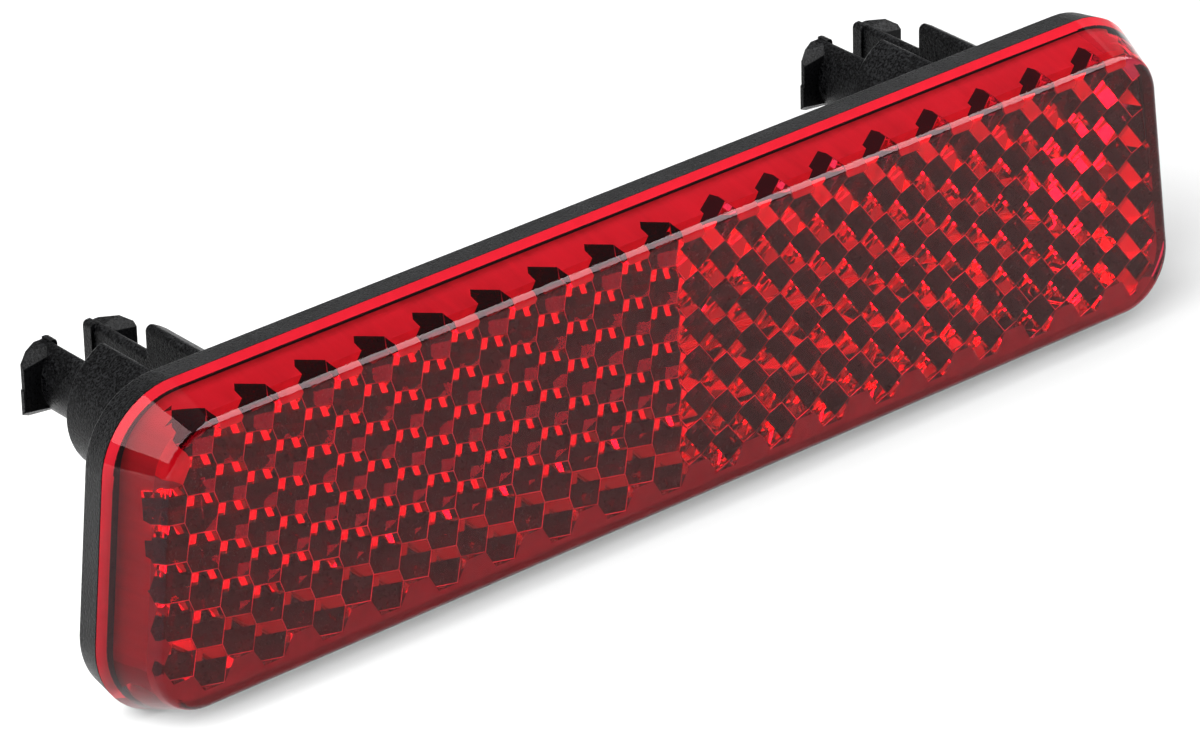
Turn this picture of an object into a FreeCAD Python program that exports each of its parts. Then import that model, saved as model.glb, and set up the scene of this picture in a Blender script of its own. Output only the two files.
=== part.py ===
import FreeCAD, Part
import math
import os

os.makedirs("parts", exist_ok=True)
V = FreeCAD.Vector

# Rear reflector for a bicycle rack: a red clear lens with moulded corner-cube
# prisms, welded on a black back plate that carries two split snap plugs.
# Row frame: origin midway between the two plug axes on the plane of the boss rims,
# which seats on the rack; +X along the length, +Y out of the rear (the plugs), +Z up.
# Lengths in mm, angles in degrees.

# ---- fixing -------------------------------------------------------------
PLUG_SPACING = 80.0      # between the two plug axes
PLUG_RISE = 4.4          # plug axes above the middle of the lens

# ---- lens outline ---------------------------------------------------------
FACE_LENGTH = 102.9      # front face at mid height
FACE_HEIGHT = 23.52      # front face
END_LEAN = 6.29          # ends spread towards the bottom
CORNER_R = 4.5           # corners of the front face
FRONT_EDGE_R = 0.62      # rounding of the front edge
LENS_DEPTH = 4.90        # front face to the welded rear rim
LENS_FLARE = 1.905       # outline growth over that depth (drafted wall)
END_FLARE = 0.385        # further growth of the two ends over that depth

# ---- inside of the lens ---------------------------------------------------
LAND_DEPTH = 1.76        # front face to the flat land around the prisms
POCKET_FRONT = -0.37     # inner wall at the land, from the front outline
POCKET_REAR = 0.06       # inner wall at the rear rim, from the front outline
CELL_FLATS = 3.273       # hexagonal prism cell, across flats
APEX_DEPTH = 4.5         # front face to the prism tips
FIRST_RIGHT_COLUMN = 1.644   # centre of the first column of the right field
FIELD_RISE = 0.531       # prism fields above the middle of the lens
COLUMNS_LEFT = 18
COLUMNS_RIGHT = 18

# ---- back plate -----------------------------------------------------------
PLATE_BACK = 7.72        # front face of the lens to the plate's rear face
JOINT_GAP = 0.12         # lens rim to plate rim, outside the weld bead
PLATE_REAR_OUT = 1.455   # plate outline at its rear face, from the front outline
PLATE_EDGE_R = 0.35      # rounding of the plate's rear edge
BEAD_OUT = 0.485         # weld bead on the lens rim, outer side, from the front outline
FLOOR_DEPTH = 6.12       # front face to the floor of the plate's recess

# ---- snap plugs -----------------------------------------------------------
BOSS_R = 5.96            # stand-off boss
BOSS_LEN = 11.5          # rear face to the boss rim
BOSS_RIM_R = 0.25
SLOT_HALF = 1.86         # half the slot that splits each plug
EDGE_R = 0.5             # rounded edges along the slot
FINGER_R = 3.86          # snap fingers
FINGER_LEN = 19.25       # rear face to the finger tips
FINGER_TIP_R = 0.2
LIP_LEN = 1.05           # lip on the inner side of each tip
LIP_IN = 0.26
LIP_HALF = 3.0           # half height of the lip
BARB_OUT = 5.42          # crest of the barb, from the plug axis
SHOULDER = 17.45         # rear face to the barb's square shoulder
CREST_REAR = 17.85       # rear end of the crest, where the lead-in starts
TIP_OUT = 3.1            # finger at its tip, from the plug axis
BARB_HALF_ROOT = 2.25    # half height of the shoulder at the finger
BARB_HALF_CREST = 1.86   # half height of the shoulder at the crest
BARB_HALF_TIP = 2.78     # half height of the barb at its tip
BARB_RISE = 0.80         # rise of the barb's sloping sides, per mm to the rear
BARB_STEP = 0.12         # mould step on the lower half of the barbs


def place(x, depth, z):
    """Point from lens coordinates (depth behind the front face, z from the
    middle of the lens) in the row frame."""
    return V(x, depth - PLATE_BACK - BOSS_LEN, z - PLUG_RISE)


def outline(offset, depth, end):
    """Closed wire of the rounded outline at a depth, grown by offset all round and
    by end more at the two ends."""
    e = math.tan(math.radians(END_LEAN))
    ce = math.cos(math.radians(END_LEAN))
    h = FACE_HEIGHT / 2 + offset

    def half(z):
        return FACE_LENGTH / 2 - z * e + (offset + end) / ce

    poly = [(-half(h), h), (half(h), h), (half(-h), -h), (-half(-h), -h)]
    r = CORNER_R + offset + end
    tangents = []
    for i, c in enumerate(poly):
        a, b = poly[i - 1], poly[(i + 1) % 4]
        ua = (a[0] - c[0], a[1] - c[1])
        ub = (b[0] - c[0], b[1] - c[1])
        la, lb = math.hypot(*ua), math.hypot(*ub)
        ua, ub = (ua[0] / la, ua[1] / la), (ub[0] / lb, ub[1] / lb)
        inner = math.acos(ua[0] * ub[0] + ua[1] * ub[1])
        t = r / math.tan(inner / 2)
        bis = (ua[0] + ub[0], ua[1] + ub[1])
        lbis = math.hypot(*bis)
        reach = r / math.sin(inner / 2) - r
        tangents.append((
            (c[0] + ua[0] * t, c[1] + ua[1] * t),
            (c[0] + bis[0] / lbis * reach, c[1] + bis[1] / lbis * reach),
            (c[0] + ub[0] * t, c[1] + ub[1] * t)))
    edges = []
    for i in range(4):
        p0, pm, p1 = [place(x, depth, z) for x, z in tangents[i]]
        edges.append(Part.Arc(p0, pm, p1).toShape())
        nxt = tangents[(i + 1) % 4][0]
        edges.append(Part.LineSegment(p1, place(nxt[0], depth, nxt[1])).toShape())
    return Part.Wire(edges)


def frustum(off0, depth0, off1, depth1, end0=0.0, end1=0.0):
    return Part.makeLoft([outline(off0, depth0, end0), outline(off1, depth1, end1)], True, True)


def edges_at(shape, depth):
    y = depth - PLATE_BACK - BOSS_LEN
    return [e for e in shape.Edges
            if all(abs(v.Point.y - y) < 1e-6 for v in e.Vertexes)]


# ---- prism fields -----------------------------------------------------------
def prism_field():
    """One closed solid of all the prism cells. Every cell is a corner cube: three
    square faces that meet at a tip pointing to the rear. The cells of the left
    field are turned half a turn against those of the right field."""
    p = CELL_FLATS
    rad = p / math.sqrt(3.0)
    drop = p / math.sqrt(6.0)          # tip to the middle corners
    base = LAND_DEPTH - 0.4
    cells = []
    for k in range(-COLUMNS_LEFT, COLUMNS_RIGHT):
        long_column = k % 2 != 0
        n = 7 if long_column else 6
        for i in range(n):
            if k == -COLUMNS_LEFT and i == n - 1:
                continue               # the rounded corner leaves no room
            cells.append((3 * k, 2 * i - (n - 1), 0 if k < 0 else 1))

    # corners on a grid of half radii along X and half cells along Z
    around = [(2, 0), (1, 1), (-1, 1), (-2, 0), (-1, -1), (1, -1)]

    def spot(kk):
        return (FIRST_RIGHT_COLUMN + kk[0] * rad / 2, FIELD_RISE + kk[1] * p / 2)

    corner, users, levels = {}, {}, {}
    for c, (gx, gz, field) in enumerate(cells):
        cx, cz = spot((gx, gz))
        ring = []
        for j in range(6):
            kk = (gx + around[j][0], gz + around[j][1])
            corner.setdefault(kk, spot(kk))
            middle = (j % 2 == 0) if field == 0 else (j % 2 == 1)
            y = APEX_DEPTH - (drop if middle else 2 * drop)
            levels.setdefault(kk, set([round(base, 6)])).add(round(y, 6))
            ring.append((kk, round(y, 6)))
        cells[c] = (cx, cz, field, ring)
        for j in range(6):
            e = frozenset((ring[j][0], ring[(j + 1) % 6][0]))
            users.setdefault(e, []).append(c)

    def point(kk, y):
        return place(corner[kk][0], y, corner[kk][1])

    def upright(kk, y0, y1):
        """Points along an upright edge from y0 to y1, ends left out."""
        between = sorted(y for y in levels[kk] if min(y0, y1) + 1e-6 < y < max(y0, y1) - 1e-6)
        return [point(kk, y) for y in (between if y1 > y0 else between[::-1])]

    faces = []

    def face(pts):
        faces.append(Part.Face(Part.makePolygon(pts + [pts[0]])))

    done = set()
    for cx, cz, field, ring in cells:
        tip = place(cx, APEX_DEPTH, cz)
        split = {}
        for j in range(6):
            (ka, ya), (kb, yb) = ring[j], ring[(j + 1) % 6]
            e = frozenset((ka, kb))
            others = [cells[c][2] for c in users[e]]
            if len(others) == 1:
                # outer side of the field
                pts = [point(ka, base), point(kb, base)] + upright(kb, base, yb)
                pts += [point(kb, yb), point(ka, ya)] + upright(ka, ya, base)
                face(pts)
            elif others[0] != others[1]:
                # where the two fields meet, the edges cross half way
                mid = (point(ka, ya) + point(kb, yb)) * 0.5
                split[j] = mid
                if e not in done:
                    done.add(e)
                    for kk in (ka, kb):
                        lo, hi = sorted(y for y in levels[kk] if y > base + 1e-6)
                        face([point(kk, lo), point(kk, hi), mid])
        first = 0 if field == 0 else 1
        for q in range(3):
            j0 = first + 2 * q
            pts = [tip, point(*ring[j0 % 6])]
            if j0 % 6 in split:
                pts.append(split[j0 % 6])
            pts.append(point(*ring[(j0 + 1) % 6]))
            if (j0 + 1) % 6 in split:
                pts.append(split[(j0 + 1) % 6])
            pts.append(point(*ring[(j0 + 2) % 6]))
            face(pts)
        face([point(ring[j][0], base) for j in range(6)])
    shell = Part.Shell(faces)
    shell.sewShape()
    solid = Part.Solid(shell)
    if solid.Volume < 0:
        solid.reverse()
    return solid


# ---- lens -------------------------------------------------------------------
def lens():
    body = frustum(0.0, 0.0, LENS_FLARE, LENS_DEPTH, 0.0, END_FLARE)
    body = body.makeFillet(FRONT_EDGE_R, edges_at(body, 0.0))
    # weld bead round the rear rim
    body = body.fuse(frustum(BEAD_OUT, LENS_DEPTH - 0.3, BEAD_OUT, LENS_DEPTH + JOINT_GAP,
                             END_FLARE, END_FLARE))
    past = LENS_DEPTH + 0.8
    grow = (POCKET_REAR - POCKET_FRONT) / (LENS_DEPTH - LAND_DEPTH)
    pocket = frustum(POCKET_FRONT, LAND_DEPTH,
                     POCKET_FRONT + grow * (past - LAND_DEPTH), past)
    cavity = pocket.cut(prism_field())
    return body.cut(cavity)


# ---- back plate and plugs -----------------------------------------------------
def half_round(radius, length, side, rim):
    """Half of a split round bar: D section with rounded edges along the slot."""
    w, r = SLOT_HALF, EDGE_R
    zc = math.sqrt((radius - r) ** 2 - (w + r) ** 2)
    tx, tz = (w + r) * radius / (radius - r), zc * radius / (radius - r)
    mx, mz = w + r - r * math.cos(math.radians(50)), zc + r * math.sin(math.radians(50))

    def at(x, z):
        return V(side * x, -0.6, z)

    wire = Part.Wire([
        Part.LineSegment(at(w, -zc), at(w, zc)).toShape(),
        Part.Arc(at(w, zc), at(mx, mz), at(tx, tz)).toShape(),
        Part.Arc(at(tx, tz), at(radius, 0), at(tx, -tz)).toShape(),
        Part.Arc(at(tx, -tz), at(mx, -mz), at(w, -zc)).toShape()])
    bar = Part.Face(wire).extrude(V(0, length + 0.6, 0))
    if rim:
        ends = [e for e in bar.Edges if all(abs(v.Point.y - length) < 1e-6 for v in e.Vertexes)]
        bar = bar.makeFillet(rim, ends)
    return bar


def prism_xy(points, z0, z1, side):
    pts = [V(side * x, y, z0) for x, y in points]
    return Part.Face(Part.makePolygon(pts + [pts[0]])).extrude(V(0, 0, z1 - z0))


def prism_xz(points, y0, y1, side):
    pts = [V(side * x, y0, z) for x, z in points]
    return Part.Face(Part.makePolygon(pts + [pts[0]])).extrude(V(0, y1 - y0, 0))


def keep_below(shape, point, normal):
    """The part of a shape behind the plane through point with that normal."""
    away = Part.makeBox(30, 30, 30, V(-15, -15, 0))
    away.Placement = FreeCAD.Placement(point, FreeCAD.Rotation(V(0, 0, 1), normal))
    return shape.cut(away)


def barb(side, out):
    """Arrow-shaped barb: square shoulder, narrow crest, steep lead-in to the tip,
    and upper and lower sides that rise towards the tip."""
    body = prism_xy([(SLOT_HALF + 0.4, SHOULDER), (out, SHOULDER), (out, CREST_REAR),
                     (TIP_OUT, FINGER_LEN), (SLOT_HALF + 0.4, FINGER_LEN)],
                    -BARB_HALF_TIP, BARB_HALF_TIP, side)
    fall = (BARB_HALF_ROOT - BARB_HALF_CREST) / (out - 3.0)
    for up in (1, -1):
        body = keep_below(body, V(side * 3.0, SHOULDER, up * BARB_HALF_ROOT),
                          V(side * fall, -BARB_RISE, up))
    return body


def finger(side):
    bar = half_round(FINGER_R, FINGER_LEN, side, FINGER_TIP_R)
    # the tip's outer corner follows the lead-in
    run = (BARB_OUT - TIP_OUT) / (FINGER_LEN - CREST_REAR)
    trim = prism_xy([(TIP_OUT, FINGER_LEN), (TIP_OUT + run * 0.8, FINGER_LEN - 0.8),
                     (TIP_OUT + 3, FINGER_LEN - 0.8), (TIP_OUT + 3, FINGER_LEN + 1),
                     (TIP_OUT, FINGER_LEN + 1)], -6, 6, side)
    upper = barb(side, BARB_OUT)
    lower = keep_below(barb(side, BARB_OUT + BARB_STEP), V(0, SHOULDER, 0), V(0, 0, 1))
    x0, x1, r = SLOT_HALF - LIP_IN, SLOT_HALF + 0.45, 0.35
    lip = prism_xz([(x1, -LIP_HALF), (x1, LIP_HALF), (x0 + r, LIP_HALF), (x0 + 0.1, LIP_HALF - 0.1),
                    (x0, LIP_HALF - r), (x0, r - LIP_HALF), (x0 + 0.1, 0.1 - LIP_HALF),
                    (x0 + r, -LIP_HALF)], FINGER_LEN - LIP_LEN, FINGER_LEN, side)
    return bar.cut(trim).fuse([upper, lower, lip])


def plug(x):
    made = None
    for side in (-1, 1):
        half = half_round(BOSS_R, BOSS_LEN, side, BOSS_RIM_R).fuse(finger(side))
        made = half if made is None else made.fuse(half)
    made.translate(V(x, -BOSS_LEN, 0))
    return made


def back_plate():
    front = LENS_DEPTH + JOINT_GAP
    slope = (PLATE_REAR_OUT - LENS_FLARE) / (PLATE_BACK - LENS_DEPTH)
    body = frustum(LENS_FLARE + slope * JOINT_GAP, front, PLATE_REAR_OUT, PLATE_BACK,
                   END_FLARE, END_FLARE)
    body = body.makeFillet(PLATE_EDGE_R, edges_at(body, PLATE_BACK))
    recess = frustum(POCKET_REAR, front - 0.5, POCKET_REAR - 0.15, FLOOR_DEPTH)
    body = body.cut(recess)
    for x in (-PLUG_SPACING / 2, PLUG_SPACING / 2):
        body = body.fuse(plug(x))
    return body.removeSplitter()


def write(name, shape):
    solids = shape.Solids
    print(name, "solids", len(solids), "faces", len(shape.Faces), "valid", shape.isValid(),
          "volume", round(shape.Volume, 1), "box", shape.BoundBox)
    solids[0].exportStep("parts/%s.step" % name)


write("reflector_lens", lens())
write("back_plate", back_plate())
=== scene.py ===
import math
import bpy
import numpy as np
from mathutils import Matrix, Vector


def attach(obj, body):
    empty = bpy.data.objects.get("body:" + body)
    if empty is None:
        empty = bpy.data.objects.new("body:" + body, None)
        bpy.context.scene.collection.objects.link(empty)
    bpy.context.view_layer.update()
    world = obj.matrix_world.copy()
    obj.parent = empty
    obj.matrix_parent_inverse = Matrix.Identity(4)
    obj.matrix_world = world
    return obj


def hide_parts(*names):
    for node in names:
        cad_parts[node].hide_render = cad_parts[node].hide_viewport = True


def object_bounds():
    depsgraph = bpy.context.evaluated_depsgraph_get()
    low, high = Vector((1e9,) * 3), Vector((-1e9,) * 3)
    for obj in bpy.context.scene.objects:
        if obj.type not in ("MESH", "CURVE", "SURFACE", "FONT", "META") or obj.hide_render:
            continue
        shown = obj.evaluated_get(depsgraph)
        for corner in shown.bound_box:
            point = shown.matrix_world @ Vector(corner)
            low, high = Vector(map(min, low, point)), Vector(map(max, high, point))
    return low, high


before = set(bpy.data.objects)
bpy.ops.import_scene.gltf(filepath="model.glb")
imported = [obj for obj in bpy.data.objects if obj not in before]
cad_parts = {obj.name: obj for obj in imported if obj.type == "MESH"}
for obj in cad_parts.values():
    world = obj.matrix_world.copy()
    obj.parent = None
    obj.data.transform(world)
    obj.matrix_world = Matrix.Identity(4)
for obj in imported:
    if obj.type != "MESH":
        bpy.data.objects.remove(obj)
cad_lo, cad_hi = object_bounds()
scene = bpy.context.scene
MM = 0.001

# ---- camera -----------------------------------------------------------------
# Fitted to the outline and the prism lattice; U is one fitted unit in metres.
U = 1.1019 * MM
AZ, EL, ROLL = -0.6896580342, 0.4826579325, -0.0254250057
DIST, TX, TY, FPX = 504.5339590903, 5.9837131821, 0.6087129843, 7107.1456936834
FACE_Y, MID_Z = -19.22, -4.4                       # front face and middle of the lens, mm
AIM = Vector((0.0, -18.72 * MM, MID_Z * MM))

back = Vector((math.sin(AZ) * math.cos(EL), -math.cos(AZ) * math.cos(EL), math.sin(EL)))
fwd = -back
right = fwd.cross(Vector((0, 0, 1))).normalized()
up = right.cross(fwd)
r2 = math.cos(ROLL) * right + math.sin(ROLL) * up
u2 = -math.sin(ROLL) * right + math.cos(ROLL) * up
cam_data = bpy.data.cameras.new("camera")
cam_data.sensor_width = 36.0
cam_data.lens = 36.0 * FPX / 1200.0
cam_data.clip_start, cam_data.clip_end = 0.01, 20.0
cam = bpy.data.objects.new("camera", cam_data)
scene.collection.objects.link(cam)
place = AIM - (TX * r2 + TY * u2 + DIST * fwd) * U
cam.matrix_world = Matrix.Translation(place) @ Matrix((r2, u2, -fwd)).transposed().to_4x4()
scene.camera = cam


# ---- node helpers -------------------------------------------------------------
class Mat:
    """A Principled material with a few shorthand calls for its nodes."""

    def __init__(self, name, **values):
        self.m = bpy.data.materials.new(name)
        self.m.use_nodes = True
        self.nt = self.m.node_tree
        self.nt.nodes.clear()
        self.out = self.add("ShaderNodeOutputMaterial")
        self.b = self.add("ShaderNodeBsdfPrincipled")
        self.link(self.b.outputs[0], self.out.inputs[0])
        for k, v in values.items():
            self.b.inputs[k.replace("_", " ")].default_value = v
        self.tc = None

    def add(self, kind, **props):
        n = self.nt.nodes.new(kind)
        for k, v in props.items():
            setattr(n, k, v)
        return n

    def link(self, a, b):
        self.nt.links.new(a, b)

    def coords(self, scale=(1, 1, 1)):
        if self.tc is None:
            self.tc = self.add("ShaderNodeTexCoord")
        mp = self.add("ShaderNodeMapping")
        mp.inputs["Scale"].default_value = scale
        self.link(self.tc.outputs["Object"], mp.inputs["Vector"])
        return mp.outputs[0]

    def noise(self, scale, stretch=(1, 1, 1), detail=2.0, rough=0.5, distortion=0.0):
        n = self.add("ShaderNodeTexNoise")
        n.inputs["Scale"].default_value = scale
        n.inputs["Detail"].default_value = detail
        n.inputs["Roughness"].default_value = rough
        n.inputs["Distortion"].default_value = distortion
        self.link(self.coords(stretch), n.inputs["Vector"])
        return n.outputs[0]

    def ramp(self, fac, stops):
        r = self.add("ShaderNodeValToRGB")
        els = r.color_ramp.elements
        while len(els) < len(stops):
            els.new(0.5)
        for e, (pos, col) in zip(els, stops):
            e.position = pos
            e.color = (*col, 1)
        self.link(fac, r.inputs[0])
        return r.outputs[0]

    def span(self, fac, lo, hi, f0=0.0, f1=1.0):
        r = self.add("ShaderNodeMapRange")
        for k, v in (("From Min", f0), ("From Max", f1), ("To Min", lo), ("To Max", hi)):
            r.inputs[k].default_value = v
        self.link(fac, r.inputs["Value"])
        return r.outputs[0]

    def math(self, op, a, b):
        n = self.add("ShaderNodeMath", operation=op)
        for i, v in enumerate((a, b)):
            if isinstance(v, (int, float)):
                n.inputs[i].default_value = v
            else:
                self.link(v, n.inputs[i])
        return n.outputs[0]

    def bump(self, height, strength, distance, under=None):
        n = self.add("ShaderNodeBump")
        if isinstance(strength, (int, float)):
            n.inputs["Strength"].default_value = strength
        else:
            self.link(strength, n.inputs["Strength"])
        n.inputs["Distance"].default_value = distance
        self.link(height, n.inputs["Height"])
        if under is not None:
            self.link(under, n.inputs["Normal"])
        return n.outputs[0]

    def set(self, name, socket):
        self.link(socket, self.b.inputs[name])


# ---- lens materials -------------------------------------------------------------
RED = (0.97, 0.030, 0.088, 1)


def clear(name, tint, rough, wave, stretch=(1, 1, 1)):
    """Clear red acrylic. Lamps shine through its surfaces to what is inside."""
    m = Mat(name, Base_Color=RED, IOR=1.49, Transmission_Weight=1.0, Specular_Tint=(*tint, 1))
    m.set("Roughness", m.span(m.noise(900, stretch, detail=3.0), 0.0, rough, 0.35, 0.75))
    m.set("Normal", m.bump(m.noise(140, stretch, detail=2.0), wave, 0.00004))
    see = m.add("ShaderNodeBsdfTransparent")
    see.inputs[0].default_value = (0.93, 0.93, 0.93, 1)
    path = m.add("ShaderNodeLightPath")
    mix = m.add("ShaderNodeMixShader")
    m.link(path.outputs["Is Shadow Ray"], mix.inputs[0])
    m.link(m.b.outputs[0], mix.inputs[1])
    m.link(see.outputs[0], mix.inputs[2])
    m.link(mix.outputs[0], m.out.inputs[0])
    return m.m


def frosted(name, dark, light, scale, stretch, rough, bump, through=0.0):
    """Drawn or matt inner surface of the red acrylic."""
    m = Mat(name, IOR=1.49, Specular_IOR_Level=0.25, Specular_Tint=(1.0, 0.12, 0.14, 1), Transmission_Weight=through)
    n = m.noise(scale, stretch, detail=4.0, rough=0.6)
    broad = m.noise(150, (1, 0.6, 1), detail=2.0)
    f = m.math("ADD", m.math("MULTIPLY", n, 0.65), m.math("MULTIPLY", broad, 0.35))
    m.set("Base Color", m.ramp(f, [(0.36, dark), (0.62, light)]))
    m.set("Roughness", m.span(n, rough - 0.12, rough + 0.12, 0.3, 0.7))
    m.set("Normal", m.bump(n, bump, 0.00003))
    return m.m


def weld():
    m = Mat("lens_weld", Specular_IOR_Level=0.1)
    n = m.noise(2500, detail=3.0)
    m.set("Base Color", m.ramp(n, [(0.3, (0.006, 0.004, 0.004)), (0.75, (0.02, 0.008, 0.009))]))
    m.set("Roughness", m.span(n, 0.35, 0.6))
    m.set("Normal", m.bump(n, 0.3, 0.00002))
    return m.m


def black_plastic():
    """Grained outside, smooth on the faces that close the lens."""
    m = Mat("plate_black", Specular_IOR_Level=0.08)
    grain = m.noise(5200, detail=2.0, rough=0.55)
    fine = m.noise(13000, detail=1.0)
    cloud = m.noise(220, detail=3.0)
    tc = m.add("ShaderNodeTexCoord")
    xyz = m.add("ShaderNodeSeparateXYZ")
    m.link(tc.outputs["Normal"], xyz.inputs[0])
    outside = m.span(xyz.outputs["Y"], 0.08, 1.0, -0.95, -0.80)
    speck = m.math("ADD", m.math("MULTIPLY", grain, 0.8), m.math("MULTIPLY", cloud, 0.2))
    tone = m.math("ADD", m.math("MULTIPLY", m.math("SUBTRACT", speck, 0.50), outside), 0.51)
    m.set("Base Color", m.ramp(tone, [(0.49, (0.0003, 0.0003, 0.0005)), (0.66, (0.0160, 0.0163, 0.0173))]))
    m.set("Roughness", m.span(grain, 0.24, 0.42, 0.35, 0.65))
    edge = m.add("ShaderNodeBevel", samples=4)
    edge.inputs["Radius"].default_value = 0.00012
    h = m.math("ADD", grain, m.math("MULTIPLY", fine, 0.35))
    m.set("Normal", m.bump(h, outside, 0.00007, edge.outputs[0]))
    return m.m


# ---- lens ---------------------------------------------------------------------
# The CAD lens with its surfaces told apart, and a narrow mould seam along the
# border of every prism cell.
CELL = 3.273
FIRST_COLUMN = 1.644
FIELD_RISE = 0.531
SEAM = 0.06
FLASH = 0.13
CLEAR, EDGE, PRISM, INNER, LAND, RIM_PAINTED_REFLECTION, WELD, SEAMS, WALL, LAND_TOP_PAINTED_LIGHT, SIDE = range(11)


def on_border(x, z):
    """True where a point of the prism field lies on the border of a cell."""
    rad = CELL / math.sqrt(3.0)
    k0 = round((x - FIRST_COLUMN) / (1.5 * rad))
    best = 9.0
    z -= FIELD_RISE
    for k in (k0 - 1, k0, k0 + 1):
        n = 7 if k % 2 else 6
        dx = x - FIRST_COLUMN - 1.5 * rad * k
        i = round((z / CELL) + (n - 1) / 2)
        for j in (i - 1, i, i + 1):
            dz = z - (j - (n - 1) / 2) * CELL
            a = max(abs(dz), abs(dx * 0.8660254 + dz * 0.5), abs(dx * 0.8660254 - dz * 0.5))
            best = min(best, a)
    return abs(best - CELL / 2) < 0.004


def split(poly, a, m, w):
    """A convex or simple flat polygon, split at distance w from the line through a."""
    near, far = [], []
    for i, p in enumerate(poly):
        q = poly[(i + 1) % len(poly)]
        dp, dq = float((p - a) @ m) - w, float((q - a) @ m) - w
        (far if dp > 0 else near).append(p)
        if dp * dq < 0:
            c = p + (q - p) * (dp / (dp - dq))
            near.append(c)
            far.append(c)
    return near, far


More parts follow.
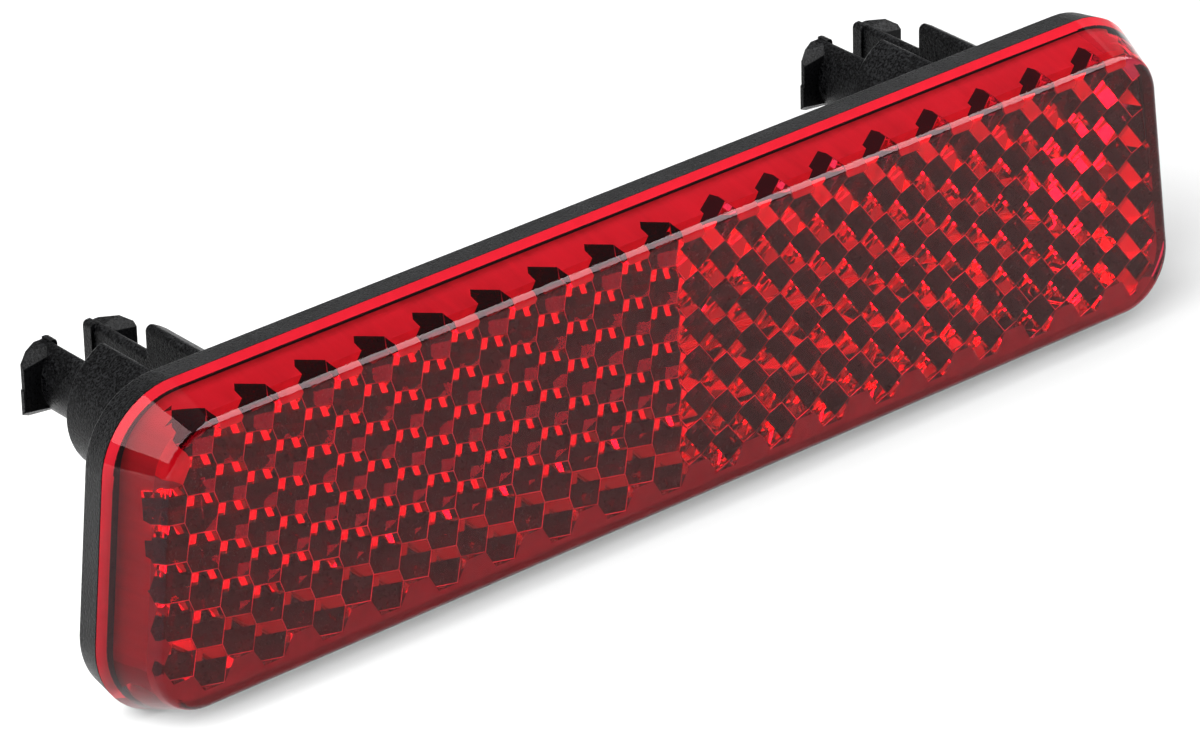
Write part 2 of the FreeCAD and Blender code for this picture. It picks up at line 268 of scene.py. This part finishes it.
def build_lens():
    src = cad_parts["reflector_lens"].data
    co = np.array([v.co[:] for v in src.vertices]) / MM
    corner = [c.vector[:] for c in src.corner_normals]
    tris = [tuple(p.vertices) for p in src.polygons]
    loops = [tuple(p.loop_indices) for p in src.polygons]
    nrm = np.array([p.normal[:] for p in src.polygons])
    mid = np.array([co[list(t)].mean(0) for t in tris])
    depth = mid[:, 1] - FACE_Y

    verts, faces, normals, mats = [], [], [], []
    seen = {}

    def vert(p):
        key = (round(p[0], 5), round(p[1], 5), round(p[2], 5))
        if key not in seen:
            seen[key] = len(verts)
            verts.append((p[0] * MM, p[1] * MM, p[2] * MM))
        return seen[key]

    def put(points, ns, mat):
        ids = [vert(p) for p in points]
        if len(set(ids)) < len(ids):
            kept = [i for i in range(len(ids)) if ids[i] != ids[i - 1]]
            ids, ns = [ids[i] for i in kept], [ns[i] for i in kept]
        if len(set(ids)) < 3 or len(set(ids)) < len(ids):
            return
        faces.append(ids)
        normals.extend(ns)
        mats.append(mat)

    # rim of the weld bead, where it meets the lens
    foot = set()
    for i in np.nonzero(depth > 4.901)[0]:
        foot.update(tuple(co[v].round(3)) for v in tris[i] if co[v][1] - FACE_Y < 4.905)

    facet = (abs(nrm[:, 1] - 0.57735) < 0.004) & (depth > 1.75)
    for i in np.nonzero(~facet)[0]:
        ny, d = nrm[i, 1], depth[i]
        if ny < -0.985:
            mat = CLEAR
        elif d < 0.42 and ny < 0:
            mat = EDGE
        elif ny < -0.3:
            mat = SIDE
        # the rim is a bright frosted red at the top and left, a painted reflection of the light seen inside the wall
        # there; at the bottom the rim and weld take the darker land material, and at the right end the rim stays clear
        elif d > 4.8 and mid[i, 2] - MID_Z < -11.0 and (ny > 0.985 or d > 4.901):
            mat = LAND
        elif d > 4.901:
            mat = WELD
        elif ny > 0.985 and d > 4.8:
            mat = CLEAR if mid[i, 0] > 51.0 else RIM_PAINTED_REFLECTION
        elif ny > 0.985:
            # the land at the top gets a brighter copy of the land material: painted light from above
            mat = LAND_TOP_PAINTED_LIGHT if mid[i, 2] - MID_Z > 8.0 else LAND
        elif ny > 0.1:
            mat = WALL if nrm[i, 0] < -0.6 or nrm[i, 2] > 0.5 else INNER
        else:
            mat = PRISM
        if mat == RIM_PAINTED_REFLECTION:
            # the weld flashed a little over the rim
            poly = [co[v] for v in tris[i]]
            for a, b in ((poly[0], poly[1]), (poly[1], poly[2]), (poly[2], poly[0])):
                if tuple(a.round(3)) in foot and tuple(b.round(3)) in foot:
                    near, poly = split(poly, a, np.cross(nrm[i], (b - a) / np.linalg.norm(b - a)), FLASH)
                    put(near, [tuple(nrm[i])] * len(near), WELD)
            if len(poly) > 2:
                put(poly, [tuple(nrm[i])] * len(poly), RIM_PAINTED_REFLECTION)
            continue
        put([co[v] for v in tris[i]], [corner[j] for j in loops[i]], mat)

    # prism facets: triangles of one flat face joined, then seams split off
    owner = {}
    group = {int(i): int(i) for i in np.nonzero(facet)[0]}

    def root(i):
        while group[i] != i:
            group[i] = group[group[i]]
            i = group[i]
        return i

    for i in list(group):
        t = tris[i]
        for a, b in ((t[0], t[1]), (t[1], t[2]), (t[2], t[0])):
            if (b, a) in owner:
                group[root(i)] = root(owner[(b, a)])
            owner[(a, b)] = i
    parts = {}
    for i in group:
        parts.setdefault(root(i), []).append(i)
    for members in parts.values():
        rim = {}
        for i in members:
            t = tris[i]
            for a, b in ((t[0], t[1]), (t[1], t[2]), (t[2], t[0])):
                if not ((b, a) in owner and owner[(b, a)] in members):
                    rim[a] = b
        start = next(iter(rim))
        chain, v = [start], rim[start]
        while v != start and v in rim and len(chain) <= len(rim):
            chain.append(v)
            v = rim[v]
        n = nrm[members[0]]
        if v != start or len(chain) != len(rim):
            for i in members:
                put([co[v] for v in tris[i]], [tuple(n)] * 3, PRISM)
            continue
        poly = [co[v] for v in chain]
        sides = []
        for j, a in enumerate(poly):
            b = poly[(j + 1) % len(poly)]
            c = (a + b) / 2
            if np.linalg.norm(b - a) > 0.15 and on_border(c[0], c[2] - MID_Z):
                e = (b - a) / np.linalg.norm(b - a)
                sides.append((a, np.cross(n, e)))
        for a, m in sides:
            near, poly = split(poly, a, m, SEAM)
            if len(near) > 2:
                put(near, [tuple(n)] * len(near), SEAMS)
            if len(poly) < 3:
                break
        if len(poly) > 2:
            put(poly, [tuple(n)] * len(poly), PRISM)

    mesh = bpy.data.meshes.new("lens")
    mesh.from_pydata(verts, [], faces)
    tint = (0.64, 0.18, 0.17)
    for m in (clear("lens_red", tint, 0.02, 0.03),
              clear("lens_edge", (0.60, 0.47, 0.50), 0.05, 0.002),
              clear("lens_prism", tint, 0.004, 0.012),
              frosted("lens_inner_wall", (0.28, 0.006, 0.011), (0.40, 0.010, 0.018), 1100, (1, 0.07, 1), 0.5, 0.2, 0.5),
              frosted("lens_land", (0.142, 0.010, 0.016), (0.206, 0.015, 0.024), 900, (1, 1, 1), 0.6, 0.15),
              # rim: bright frosted red, a painted reflection of the light inside the wall
              frosted("lens_rim_painted_reflection", (0.88, 0.085, 0.115), (0.98, 0.100, 0.140), 700, (1, 1, 1), 0.6, 0.1),
              weld(),
              frosted("lens_seam", (0.14, 0.010, 0.015), (0.72, 0.052, 0.076), 420, (1, 1, 1), 0.5, 0.2),
              clear("lens_end_wall", tint, 0.08, 0.05, (1, 0.07, 1)),
              # land at the top: a brighter copy of lens_land, painted light from above
              frosted("lens_land_top_painted_light", (0.46, 0.015, 0.025), (0.63, 0.021, 0.037), 900, (1, 1, 1), 0.6, 0.15),
              clear("lens_side", (0.72, 0.40, 0.42), 0.02, 0.03)):
        mesh.materials.append(m)
    mesh.polygons.foreach_set("material_index", mats)
    mesh.polygons.foreach_set("use_smooth", [True] * len(mats))
    mesh.normals_split_custom_set(normals)
    mesh.update()
    o = bpy.data.objects.new("lens", mesh)
    scene.collection.objects.link(o)
    return o


lens = build_lens()
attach(lens, "root")
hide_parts("reflector_lens")

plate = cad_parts["back_plate"]
plate.data.materials.clear()
plate.data.materials.append(black_plastic())

# ---- stage ------------------------------------------------------------------
floor_z = cad_lo.z - 0.4 * MM
mesh = bpy.data.meshes.new("floor")
s = 3.0
mesh.from_pydata([(-s, -s, floor_z), (s, -s, floor_z), (s, s, floor_z), (-s, s, floor_z)], [], [(0, 1, 2, 3)])
floor = bpy.data.objects.new("floor", mesh)
scene.collection.objects.link(floor)
fm = Mat("floor_pale", Base_Color=(0.72, 0.72, 0.72, 1), Roughness=0.9, Specular_IOR_Level=0.0)
mesh.materials.append(fm.m)

world = bpy.data.worlds.new("studio")
scene.world = world
world.use_nodes = True
wt = world.node_tree
bg = wt.nodes["Background"]
bg.inputs[0].default_value = (1, 1, 1, 1)
# an even studio, with a dark flag on the camera's side, a small one above and
# a small reflector beside that
wc = wt.nodes.new("ShaderNodeTexCoord")
level = None
for way, inner, outer, plain, there in (((-0.15, -0.93, 0.34), 0.62, 0.86, 0.50, 0.03),
                                        ((0.578, 0.207, 0.789), 0.9905, 0.9969, 1.0, 0.38),
                                        ((0.713, 0.170, 0.680), 0.9955, 0.9990, 1.0, 1.75)):
    dot = wt.nodes.new("ShaderNodeVectorMath")
    dot.operation = "DOT_PRODUCT"
    dot.inputs[1].default_value = Vector(way).normalized()
    wt.links.new(wc.outputs["Generated"], dot.inputs[0])
    fall = wt.nodes.new("ShaderNodeMapRange")
    fall.interpolation_type = "SMOOTHSTEP"
    for k, v in (("From Min", inner), ("From Max", outer), ("To Min", plain), ("To Max", there)):
        fall.inputs[k].default_value = v
    wt.links.new(dot.outputs["Value"], fall.inputs["Value"])
    if level is None:
        level = fall.outputs[0]
    else:
        both = wt.nodes.new("ShaderNodeMath")
        both.operation = "MULTIPLY"
        wt.links.new(level, both.inputs[0])
        wt.links.new(fall.outputs[0], both.inputs[1])
        level = both.outputs[0]
wt.links.new(level, bg.inputs[1])


def softbox(name, direction, distance, size, radiance):
    """Area light of a given brightness, seen from the part in a direction."""
    d = bpy.data.lights.new(name, "AREA")
    d.shape = "RECTANGLE"
    d.size, d.size_y = size
    d.energy = radiance * math.pi * size[0] * size[1]
    o = bpy.data.objects.new(name, d)
    at = Vector(direction).normalized() * distance
    o.location = at
    o.rotation_mode = "QUATERNION"
    o.rotation_quaternion = (-at).to_track_quat("-Z", "Y")
    scene.collection.objects.link(o)
    return o


softbox("key", (-0.60, -0.03, 0.80), 0.8, (0.60, 0.92), 5.2)
side = softbox("side", (0.569, -0.478, 0.669), 0.8, (0.80, 0.80), 8.5)
fill = softbox("fill", (-0.86, -0.44, 0.38), 1.0, (1.2, 1.2), 5.8)
# the side box is masked off the floor and the fill off the part, so that the
# key throws one soft shadow
for lamp, names in ((side, (lens, plate)), (fill, (floor,))):
    lit = bpy.data.collections.new(lamp.name + "_receivers")
    for o in names:
        lit.objects.link(o)
    lamp.light_linking.receiver_collection = lit

sc = scene.cycles
sc.max_bounces = 24
sc.glossy_bounces = 16
sc.transmission_bounces = 20
sc.transparent_max_bounces = 24
sc.caustics_reflective = False
sc.caustics_refractive = False
scene.view_settings.view_transform = "Standard"
